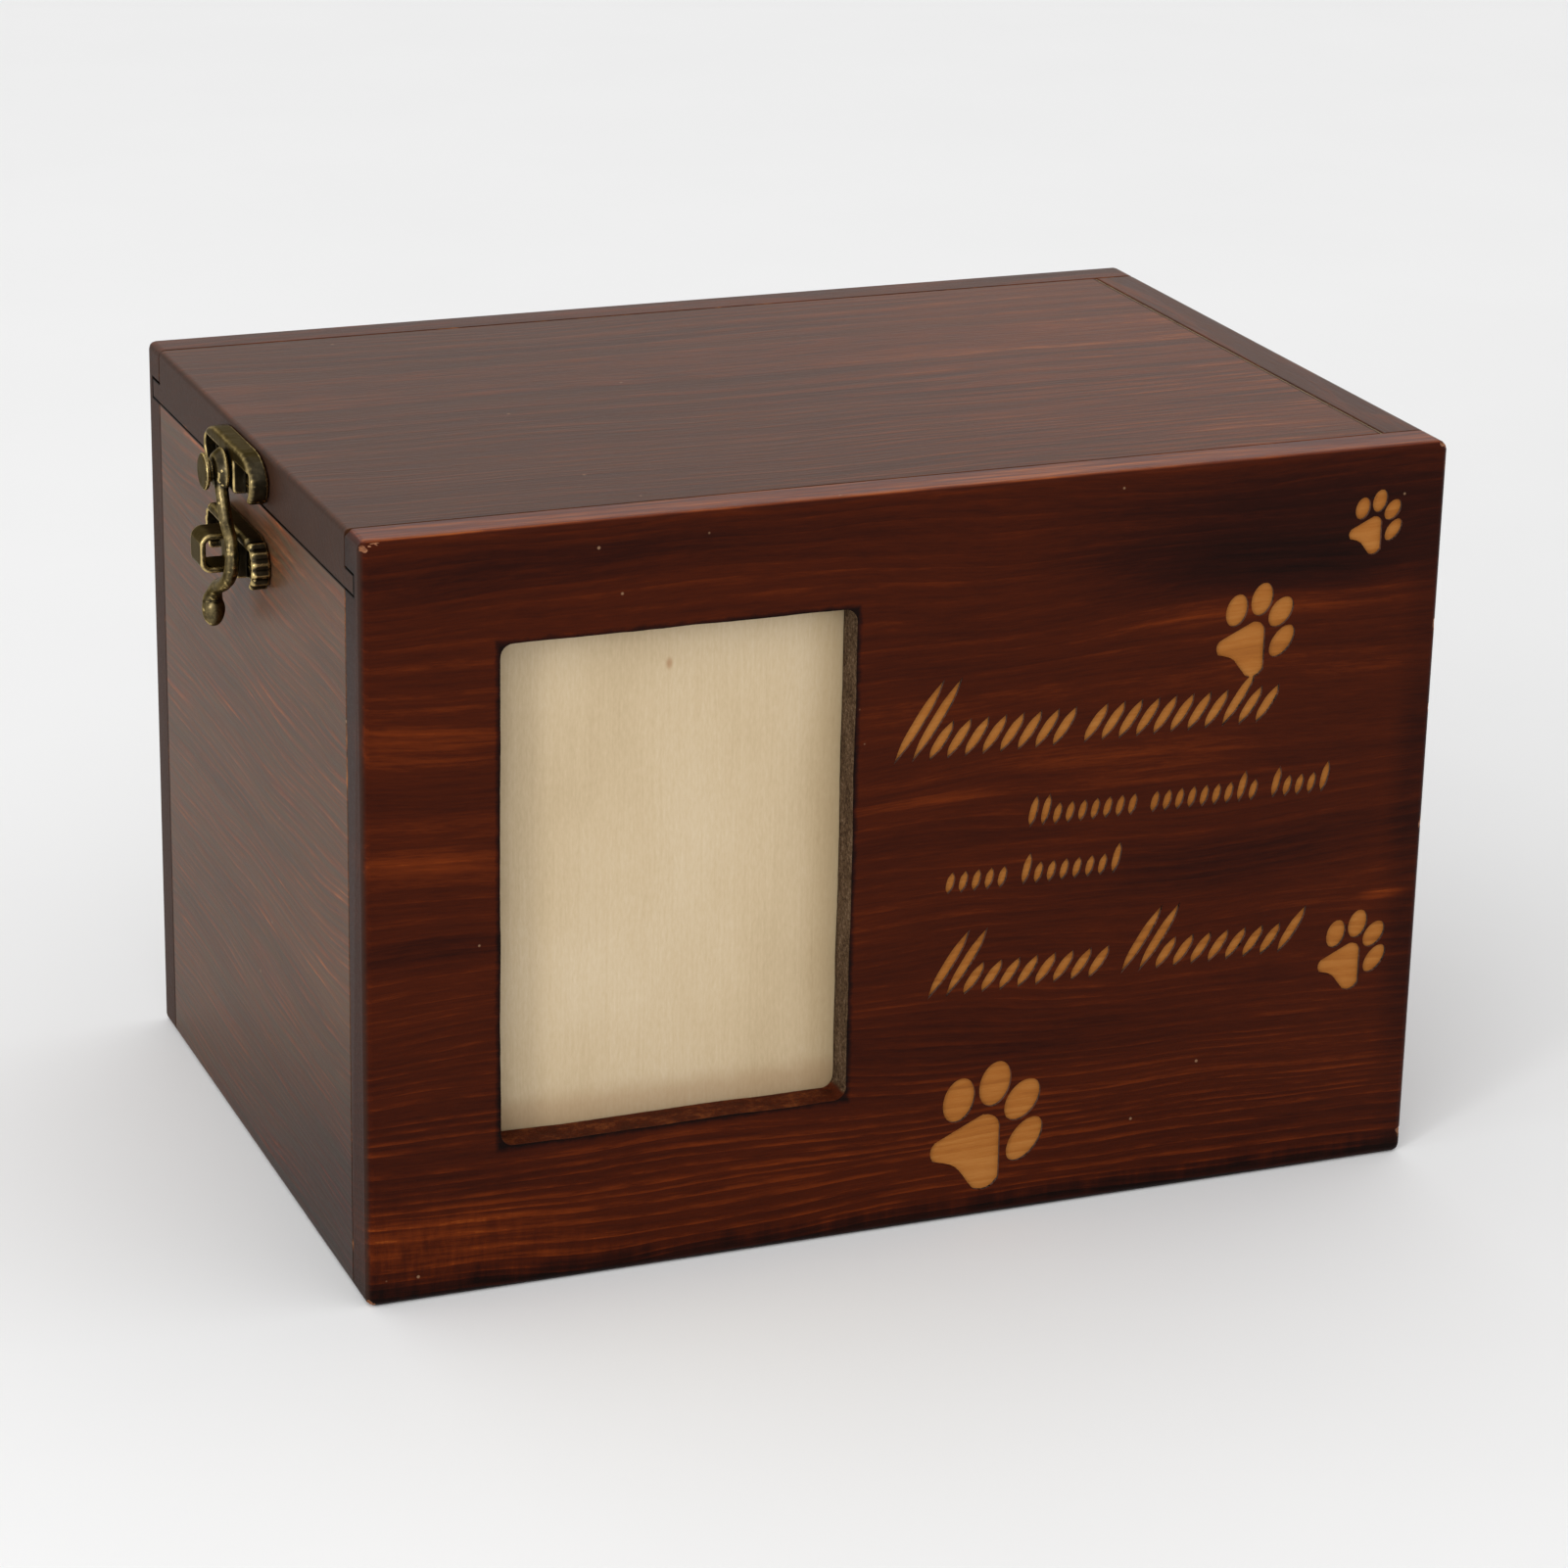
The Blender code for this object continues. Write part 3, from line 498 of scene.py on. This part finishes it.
def engraved_wood():
    """The burnt-out floor of the engraving: tan, with the darker grain showing through."""
    f = Finish("engraved_wood", ior=1.25)
    late, fibres, dashes, broad = grain(f, *FRONT_GRAIN)[2:]
    colour = f.ramp(
        0.56 + 0.16 * fibres + 0.10 * dashes + 0.22 * broad - 0.16 * late,
        (0.0, (0.12, 0.030, 0.004)),
        (0.5, (0.315, 0.107, 0.016)),
        (1.0, (0.49, 0.22, 0.055)),
    )
    return f.finish(colour, 0.7, 0.5 * fibres + 0.4 * dashes, 0.05)


def engraved_wall():
    """The scorched rim of the engraving."""
    f = Finish("engraved_rim")
    smoke = f.noise(f.x * 1.2, f.y, f.z * 1.2, 3, spread=1.5)
    colour = f.ramp(0.5 + smoke, (0.0, (0.018, 0.006, 0.003)), (1.0, (0.12, 0.035, 0.010)))
    return f.finish(colour, 0.7, smoke, 0.03)


def charred_wood():
    """The window's sawn faces: scorched, speckled with grey ash, and red-brown on the sill."""
    f = Finish("charred_wood", ior=1.16)
    soot = f.noise(f.x / 4, f.y / 3, f.z / 9, 4, 0.7, spread=2.4)
    fine = f.noise(f.x * 1.6, f.y * 1.6, f.z * 1.6, 5, 0.85, spread=3.4)
    colour = f.ramp(
        0.50 + 0.25 * soot + 0.50 * fine,
        (0.0, (0.004, 0.003, 0.002)),
        (0.30, (0.034, 0.017, 0.009)),
        (0.60, (0.130, 0.078, 0.042)),
        (0.85, (0.290, 0.205, 0.135)),
        (1.0, (0.62, 0.54, 0.43)),
    )
    sill_top = openings["photo_window"][0][2] / MM
    sill = f.step(f.z + 0.6 * soot, sill_top + 0.9, sill_top + 0.1)
    stain = f.ramp(
        0.5 + 0.5 * soot + 0.2 * fine,
        (0.0, (0.018, 0.004, 0.001)),
        (0.5, (0.080, 0.013, 0.003)),
        (1.0, (0.30, 0.080, 0.018)),
    )
    colour = f.mix(sill, colour, stain)
    return f.finish(colour, 0.8 - 0.2 * sill, fine + soot, 0.15)


def pale_board():
    """The smooth cream board behind the window, with fine upright grain and rims darkened by painted
    shade with a smoky tint.
    """
    f = Finish("pale_board", ior=1.3)
    sway = f.noise(f.x / 20, f.y, f.z / 60, 2, spread=3)
    x = f.x + sway
    fibres = f.noise(x * 1.6, f.y * 1.6, f.z / 26, 4, 0.6, spread=2.4)
    flecks = f.noise(x * 2.2, f.y * 2.2, f.z / 1.6, 3, 0.65, spread=2.2)
    cloud = f.noise(x / 16, f.y / 18, f.z / 34, 3, spread=2.4)
    colour = f.ramp(
        0.50 + 0.12 * fibres + 0.20 * flecks + 0.24 * cloud,
        (0.0, (0.39, 0.285, 0.155)),
        (0.5, (0.550, 0.425, 0.265)),
        (1.0, (0.68, 0.57, 0.41)),
    )
    low, high = openings["photo_window"]
    smoke = f.noise(f.x / 4, f.y, f.z / 4, 4, 0.6, spread=2.0)
    rise = f.z - low[2] / MM
    left = f.x - low[0] / MM
    right = high[0] / MM - f.x
    # Painted shade along the right, left and bottom edges, where the frame shades the recessed board,
    # in smoky browns
    colour = f.mix(f.step(right + smoke, 8.0, 0.5) * 0.34, colour, (0.36, 0.245, 0.105))
    colour = f.mix(f.step(left + smoke, 4.0, 0.0) * 0.34, colour, (0.30, 0.20, 0.10))
    colour = f.mix(f.step(rise + 1.2 * smoke, 6.5, 2.0) * 0.40, colour, (0.36, 0.21, 0.10))
    knot = f.patch(x, f.z, (-41.6, 103.2), (0.9, 1.5))
    colour = f.mix(knot * 0.6, colour, (0.35, 0.17, 0.07))
    return f.finish(colour, 0.6 + 0.06 * fibres, 0.6 * fibres + 0.4 * flecks, 0.02)


def antique_brass(name, bright, start=0.506):
    """Dark olive patina, darker in the hollows and rubbed to gold on what stands out.

    bright is the gold's strength, and start the pointiness from which the metal is rubbed.
    """
    f = Finish(name, metallic=1.0)
    f.shader.inputs["Specular Tint"].default_value = (0.56, 0.51, 0.43, 1)
    cloud = f.noise(f.x * 0.6, f.y * 0.6, f.z * 0.6, 4, 0.6, spread=2.0)
    pits = f.noise(f.x * 4.0, f.y * 4.0, f.z * 4.0, 3, 0.6, spread=2.0)
    curve = Wire(f, f.node("ShaderNodeNewGeometry").outputs["Pointiness"])
    patches = f.noise(f.x * 0.35, f.y * 0.35, f.z * 0.35, 3, 0.6, spread=2.4)
    rubbed = f.step(curve + 0.003 * cloud, start, start + 0.021)
    rubbed = rubbed * f.step(patches, -0.5, 0.4, 0.35, 1.0)
    hollow = f.step(curve + 0.003 * cloud, 0.498, 0.486)
    patina = f.ramp(
        0.5 + 0.40 * cloud + 0.15 * pits,
        (0.0, (0.014, 0.011, 0.007)),
        (0.5, (0.040, 0.032, 0.019)),
        (1.0, (0.105, 0.084, 0.050)),
    )
    colour = f.mix(rubbed * bright, patina, (0.72, 0.54, 0.23))
    colour = f.mix(hollow * 0.85, colour, (0.009, 0.007, 0.004))
    rough = 0.34 + 0.10 * pits - 0.10 * rubbed
    return f.finish(colour, rough, 0.35 * pits + 0.5 * cloud, 0.02)


def welded(node):
    """The CAD node's mesh with its corners joined and its flat faces whole."""
    shape = bmesh.new()
    shape.from_mesh(nodes[node].data)
    bmesh.ops.remove_doubles(shape, verts=shape.verts, dist=0.002 * MM)
    bmesh.ops.dissolve_limit(
        shape, angle_limit=math.radians(0.4), verts=shape.verts, edges=shape.edges
    )
    return shape


def as_object(shape, name):
    """Turns a bmesh into an object of the scene."""
    mesh = bpy.data.meshes.new(name)
    shape.to_mesh(mesh)
    shape.free()
    made = bpy.data.objects.new(name, mesh)
    bpy.context.scene.collection.objects.link(made)
    return made


def applied(made):
    """Turns an object's modifiers into its mesh."""
    bpy.context.view_layer.update()
    graph = bpy.context.evaluated_depsgraph_get()
    mesh = bpy.data.meshes.new_from_object(made.evaluated_get(graph))
    made.modifiers.clear()
    made.data = mesh
    return made


def flattened(made):
    """Smooth rounded edges between faces that stay flat."""
    made.data.shade_smooth()
    made.data.set_sharp_from_angle(angle=math.radians(50))
    weighted = made.modifiers.new("weighted_normals", "WEIGHTED_NORMAL")
    weighted.keep_sharp = True
    weighted.weight = 100
    return applied(made)


def stands_for(made, node):
    """The finished piece rides where the CAD node does and takes its place."""
    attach(made, body_of[node])
    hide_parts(node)
    return made


def subtract(made, cutter):
    """Cuts the cutter out of a piece; the cut faces keep the cutter's materials."""
    modifier = made.modifiers.new(cutter.name, "BOOLEAN")
    modifier.object = cutter
    modifier.operation = "DIFFERENCE"
    modifier.solver = "EXACT"
    modifier.material_mode = "TRANSFER"
    applied(made)
    bpy.data.objects.remove(cutter, do_unlink=True)


def smooth_closed(points, steps=4, corner=50):
    """A closed outline rounded between its points; corners sharper than this many degrees stay."""
    count = len(points)
    sharp = []
    for i in range(count):
        before = points[i] - points[i - 1]
        after = points[(i + 1) % count] - points[i]
        sharp.append(abs(before.angle_signed(after)) > math.radians(corner))
    smooth = []
    for i in range(count):
        a, b = points[i], points[(i + 1) % count]
        before = a if sharp[i] else points[i - 1]
        after = b if sharp[(i + 1) % count] else points[(i + 2) % count]
        for k in range(steps):
            t = k / steps
            smooth.append(
                0.5
                * (
                    2 * a
                    + (b - before) * t
                    + (2 * before - 5 * a + 4 * b - after) * t * t
                    + (3 * a - before - 3 * b + after) * t ** 3
                )
            )
    return smooth


def prism(shape, outline, front, back, wall, floor):
    """Adds a closed prism between two y levels to a bmesh. wall and floor are material places."""
    near = [shape.verts.new((p.x, front, p.y)) for p in outline]
    far = [shape.verts.new((p.x, back, p.y)) for p in outline]
    caps = [shape.faces.new(near), shape.faces.new(far[::-1])]
    caps[1].material_index = floor
    for i in range(len(outline)):
        j = (i + 1) % len(outline)
        side = shape.faces.new((near[i], far[i], far[j], near[j]))
        side.material_index = wall


def engraving_outlines(shape, floor_y):
    """The outline of each engraved floor, as (x, z) points in order."""
    floors = {
        face
        for face in shape.faces
        if face.normal.y < -0.99 and abs(face.calc_center_median().y - floor_y) < 0.02 * MM
    }
    rims = {
        edge
        for face in floors
        for edge in face.edges
        if not all(other in floors for other in edge.link_faces)
    }
    outlines = []
    while rims:
        edge = rims.pop()
        start, here = edge.verts
        loop = [start, here]
        while here is not start:
            edge = next(e for e in here.link_edges if e in rims)
            rims.remove(edge)
            here = edge.other_vert(here)
            loop.append(here)
        outlines.append([Vector((vert.co.x, vert.co.z)) for vert in loop[:-1]])
    return outlines


def engraving_cutter(shape, finishes):
    """Cuts the same engraving again, smoother and a hair deeper, with its own finishes."""
    face_y = node_box["front_panel"][0].y
    floor_y = face_y + ENGRAVING_DEPTH
    tool = bmesh.new()
    for outline in engraving_outlines(shape, floor_y):
        smooth = smooth_closed(outline)
        prism(tool, smooth, face_y - OVERSHOOT, floor_y + ENGRAVING_EXTRA, wall=0, floor=1)
    bmesh.ops.recalc_face_normals(tool, faces=tool.faces)
    cutter = as_object(tool, "engraving_cutter")
    for finish in finishes:
        cutter.data.materials.append(finish)
    return cutter


def window_cutter(finish):
    """The hand-cut window: its edge wanders a little outside the ruled one."""
    low, high = openings["photo_window"]
    corners = (
        (high[0], high[2], 0),
        (low[0], high[2], 90),
        (low[0], low[2], 180),
        (high[0], low[2], 270),
    )
    centre = Vector(((low[0] + high[0]) / 2, (low[2] + high[2]) / 2))
    outline = []
    for x, z, start in corners:
        inward = Vector((math.copysign(1, centre.x - x), math.copysign(1, centre.y - z)))
        middle = Vector((x, z)) + inward * (WINDOW_CORNER - WINDOW_MARGIN)
        for k in range(CORNER_STEPS + 1):
            angle = math.radians(start + 90 * k / CORNER_STEPS)
            outline.append(middle + WINDOW_CORNER * Vector((math.cos(angle), math.sin(angle))))
    dense = []
    for a, b in zip(outline, outline[1:] + outline[:1]):
        parts = max(1, round((b - a).length / WINDOW_STEP))
        dense += [a.lerp(b, k / parts) for k in range(parts)]
    panel_low, panel_high = node_box["front_panel"]
    depth = panel_high.y - panel_low.y + 2 * OVERSHOOT
    tool = bmesh.new()
    rings = []
    for layer in range(WINDOW_LAYERS + 1):
        y = panel_low.y - OVERSHOOT + layer * depth / WINDOW_LAYERS
        ring = []
        for p in dense:
            outward = (p - centre).normalized()
            slow = noise.noise(Vector((p.x, y * 0.3, p.y)) * 90)
            fine = noise.noise(Vector((p.x, y, p.y)) * 420)
            grow = WINDOW_WOBBLE * (0.55 + 0.75 * slow + 0.25 * fine)
            moved = p + outward * max(grow, 0.03 * MM)
            ring.append(tool.verts.new((moved.x, y, moved.y)))
        rings.append(ring)
    count = len(dense)
    for front, back in zip(rings, rings[1:]):
        for i in range(count):
            j = (i + 1) % count
            tool.faces.new((front[i], back[i], back[j], front[j]))
    tool.faces.new(rings[0])
    tool.faces.new(rings[-1][::-1])
    bmesh.ops.recalc_face_normals(tool, faces=tool.faces)
    cutter = as_object(tool, "window_cutter")
    cutter.data.materials.append(finish)
    return cutter


def chip_cutter(places, finish, name):
    """Rough lumps that break small chips out of a board's corners and edges.

    Each chip has its place in metres, its radius in millimetres and its stretch along x, y and z.
    """
    tool = bmesh.new()
    for place, radius, stretch in places:
        made = bmesh.ops.create_icosphere(tool, subdivisions=3, radius=1.0)
        for vert in made["verts"]:
            lump = noise.noise(vert.co * 1.6 + Vector(place) * 900)
            burr = noise.noise(vert.co * 5.0 + Vector(place) * 700)
            bent = 1 + 0.55 * lump + 0.30 * burr
            vert.co = Vector(place) + Vector(
                vert.co[i] * bent * radius * MM * stretch[i] for i in range(3)
            )
    cutter = as_object(tool, name)
    cutter.data.materials.append(finish)
    return cutter


def board(node, finish, inside=None, inward=None):
    """A board with soft edges; the faces that look inward are unstained."""
    shape = welded(node)
    sharp = []
    for edge in shape.edges:
        if edge.is_manifold and edge.calc_face_angle() > SOFT_EDGE_ANGLE:
            sharp.append(edge)
    bmesh.ops.bevel(
        shape,
        geom=sharp,
        offset=SOFT_EDGE,
        segments=2,
        profile=0.6,
        affect="EDGES",
        clamp_overlap=True,
    )
    made = as_object(shape, node + "_finished")
    made.data.materials.append(finish)
    if inside:
        made.data.materials.append(inside)
        for face in made.data.polygons:
            if face.normal.dot(Vector(inward)) > 0.9 and face.center.z < CHAMBER_TOP:
                face.material_index = 1
    return stands_for(flattened(made), node)


def front_chips():
    """The front's chips, by its corners first and then along its right and top edges."""
    low, high = node_box["front_panel"]
    left, face, foot = low
    right, back, top = high
    return (
        ((left + 0.2 * MM, face + 0.2 * MM, top - 0.9 * MM), 1.0, (1.0, 0.8, 0.7)),
        ((left + 2.6 * MM, face + 0.1 * MM, top - 0.1 * MM), 0.8, (2.6, 0.6, 0.7)),
        ((left + 0.3 * MM, back, top), 0.9, (0.9, 0.8, 0.8)),
        ((right - 0.3 * MM, face + 0.2 * MM, top - 0.3 * MM), 1.0, (1.1, 1, 0.9)),
        ((right - 0.2 * MM, face + 0.1 * MM, top - 4.0 * MM), 0.6, (0.8, 0.8, 2.4)),
        ((left + 0.3 * MM, face + 0.3 * MM, foot + 0.3 * MM), 1.2, (1, 1, 0.8)),
        ((right - 0.2 * MM, face + 0.3 * MM, foot + 98 * MM), 0.7, (0.8, 0.8, 2.6)),
        ((right - 0.2 * MM, face + 0.3 * MM, foot + 83 * MM), 0.6, (0.8, 0.8, 1.6)),
        ((right - 0.2 * MM, face + 0.3 * MM, foot + 62 * MM), 0.65, (0.8, 0.8, 2.0)),
        ((right - 0.2 * MM, face + 0.2 * MM, foot + 4 * MM), 0.9, (1, 1, 1.2)),
        ((left + 46 * MM, face + 0.1 * MM, top - 0.1 * MM), 0.5, (1.8, 0.8, 0.8)),
        ((left + 98 * MM, face + 0.1 * MM, top), 0.5, (3.6, 0.7, 0.7)),
        ((left + 139 * MM, face + 0.1 * MM, top), 0.5, (5.2, 0.7, 0.7)),
    )


def front_board(finish, inside, chip, rim, floor, char):
    """The front: its engraving and window are cut again, finer, and its corners are chipped."""
    shape = welded("front_panel")
    engraving = engraving_cutter(shape, (rim, floor))
    made = as_object(shape, "front_panel_finished")
    made.data.materials.append(finish)
    made.data.materials.append(inside)
    back_y = node_box["front_panel"][1].y
    for face in made.data.polygons:
        inner = face.normal.y > 0.9 and face.center.y > back_y - 0.1 * MM
        if inner and face.center.z < CHAMBER_TOP:
            face.material_index = 1
    subtract(made, window_cutter(char))
    subtract(made, engraving)
    subtract(made, chip_cutter(front_chips(), chip, "front_chips"))
    return stands_for(flattened(made), "front_panel")


def hook_fullness(place):
    """The extra thickness, in millimetres, of the hook's finger above its round tip."""
    rise = (place.z - node_box["latch_hook"][0].z) / MM
    return FINGER_EXTRA * math.exp(-(((rise - FINGER_HEIGHT) / FINGER_SPREAD) ** 2))


def cast(node, finish, voxel, rounds, swell, fullness=None):
    """A cast piece: the CAD solid remeshed finely, smoothed in rounds, swollen and pitted.

    voxel and swell are millimetres, and fullness gives a place's own extra swell.
    """
    shape = welded(node)
    made = as_object(shape, node + "_cast")
    remesh = made.modifiers.new("remesh", "REMESH")
    remesh.mode = "VOXEL"
    remesh.voxel_size = voxel * MM
    smooth = made.modifiers.new("smooth", "SMOOTH")
    smooth.factor = 0.5
    smooth.iterations = rounds
    applied(made)
    low, high = cad_box
    normals = [vert.normal.copy() for vert in made.data.vertices]
    for vert, normal in zip(made.data.vertices, normals):
        lump = noise.noise(vert.co / MM * 0.9) * 0.02 + noise.noise(vert.co / MM * 3.1) * 0.003
        more = fullness(vert.co) if fullness else 0.0
        moved = vert.co + normal * (swell + lump + more) * MM
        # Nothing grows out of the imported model's own box
        vert.co = Vector(min(max(moved[i], low[i]), high[i]) for i in range(3))
    made.data.materials.append(finish)
    made.data.shade_smooth()
    return stands_for(made, node)


def camera():
    """The photo's own view."""
    data = bpy.data.cameras.new("camera")
    data.lens = CAMERA_LENS
    data.clip_start = 0.01
    made = bpy.data.objects.new("camera", data)
    bpy.context.scene.collection.objects.link(made)
    made.matrix_world = (
        Matrix.Translation(CAMERA_EYE)
        @ Matrix.Rotation(math.radians(-CAMERA_TURN), 4, "Z")
        @ Matrix.Rotation(math.radians(90 - CAMERA_TILT), 4, "X")
        @ Matrix.Rotation(math.radians(CAMERA_ROLL), 4, "Z")
    )
    bpy.context.scene.camera = made


def floor():
    """A plain pale floor, 8 metres wide."""
    bpy.ops.mesh.primitive_plane_add(size=8)
    made = bpy.context.active_object
    made.name = "floor"
    f = Finish("floor_paper")
    colour = f.mix(0.5 + f.noise(f.x / 90, f.y / 90, 0, 3), (0.83, 0.83, 0.83), (0.86, 0.86, 0.86))
    made.data.materials.append(f.finish(colour, 0.9))


def light(name, place, aim, size, power):
    """A round lamp that faces aim, with its size in metres and its power in watts."""
    data = bpy.data.lights.new(name, "AREA")
    data.shape = "DISK"
    data.size = size
    data.energy = power
    made = bpy.data.objects.new(name, data)
    bpy.context.scene.collection.objects.link(made)
    made.location = place
    made.rotation_euler = (Vector(aim) - Vector(place)).to_track_quat("-Z", "Y").to_euler()


def studio():
    """A white surround, one large soft light and a small one that glints on the brass."""
    world = bpy.data.worlds.new("surround")
    bpy.context.scene.world = world
    world.use_nodes = True
    background = world.node_tree.nodes["Background"]
    background.inputs["Color"].default_value = (1, 1, 1, 1)
    background.inputs["Strength"].default_value = 0.95
    light("front_light", (-1.1, -1.2, 1.3), (0, 0, 0.06), 1.0, 6)
    light("spark_light", (-1.0, -0.72, 0.43), (-0.1, 0, 0.11), 0.25, 3.5)
    bpy.context.scene.view_settings.view_transform = "Standard"


def dress_box():
    """The boards, each with its own stain. The stained faces' grain is given as in FRONT_GRAIN."""
    raw = raw_wood()
    front = stained("stained_front", "front_panel", *FRONT_GRAIN, front_shade)
    back = stained("stained_back", "back_panel", "X", "Z", "Y", (40, 30), 1.9, 2, dust_and_sheen=0.12)
    left = stained(
        "stained_left", "left_end_panel", "Y", "Z", "X", (150, -60), 1.4, 3, end_shade, dust_and_sheen=0.26
    )
    right = stained("stained_right", "right_end_panel", "Y", "Z", "X", (-20, 60), 1.6, 4, dust_and_sheen=0.14)
    lid = stained("stained_lid", "sliding_lid", "X", "Y", "Z", (20, 60), 1.5, 6, lid_shade, dust_and_sheen=0.16)
    front_board(front, raw, chipped_wood(), engraved_wall(), engraved_wood(), charred_wood())
    board("back_panel", back, raw, (0, -1, 0))
    board("left_end_panel", left, raw, (1, 0, 0))
    board("right_end_panel", right, raw, (-1, 0, 0))
    board("sliding_lid", lid, raw, (0, 0, -1))
    board("floor_panel", raw)
    board("backing_board", pale_board())


def dress_latch():
    """The latch: the hook is handled most, so more of it is rubbed bright."""
    brass = antique_brass("antique_brass", 0.85)
    dark = antique_brass("dark_brass", 0.4)
    handled = antique_brass("handled_brass", 0.9, 0.5025)
    cast("lid_plate", brass, 0.14, 22, 0.07)
    cast("catch_plate", brass, 0.14, 16, 0.07)
    cast("latch_hook", handled, 0.13, 60, 0.16, hook_fullness)
    cast("hook_rivet", brass, 0.10, 6, 0.03)
    for plate in ("lid_plate", "catch_plate"):
        for side in ("front", "back"):
            cast(f"{plate}_screw_{side}", dark, 0.10, 3, 0.02)


camera()
floor()
studio()
dress_box()
dress_latch()
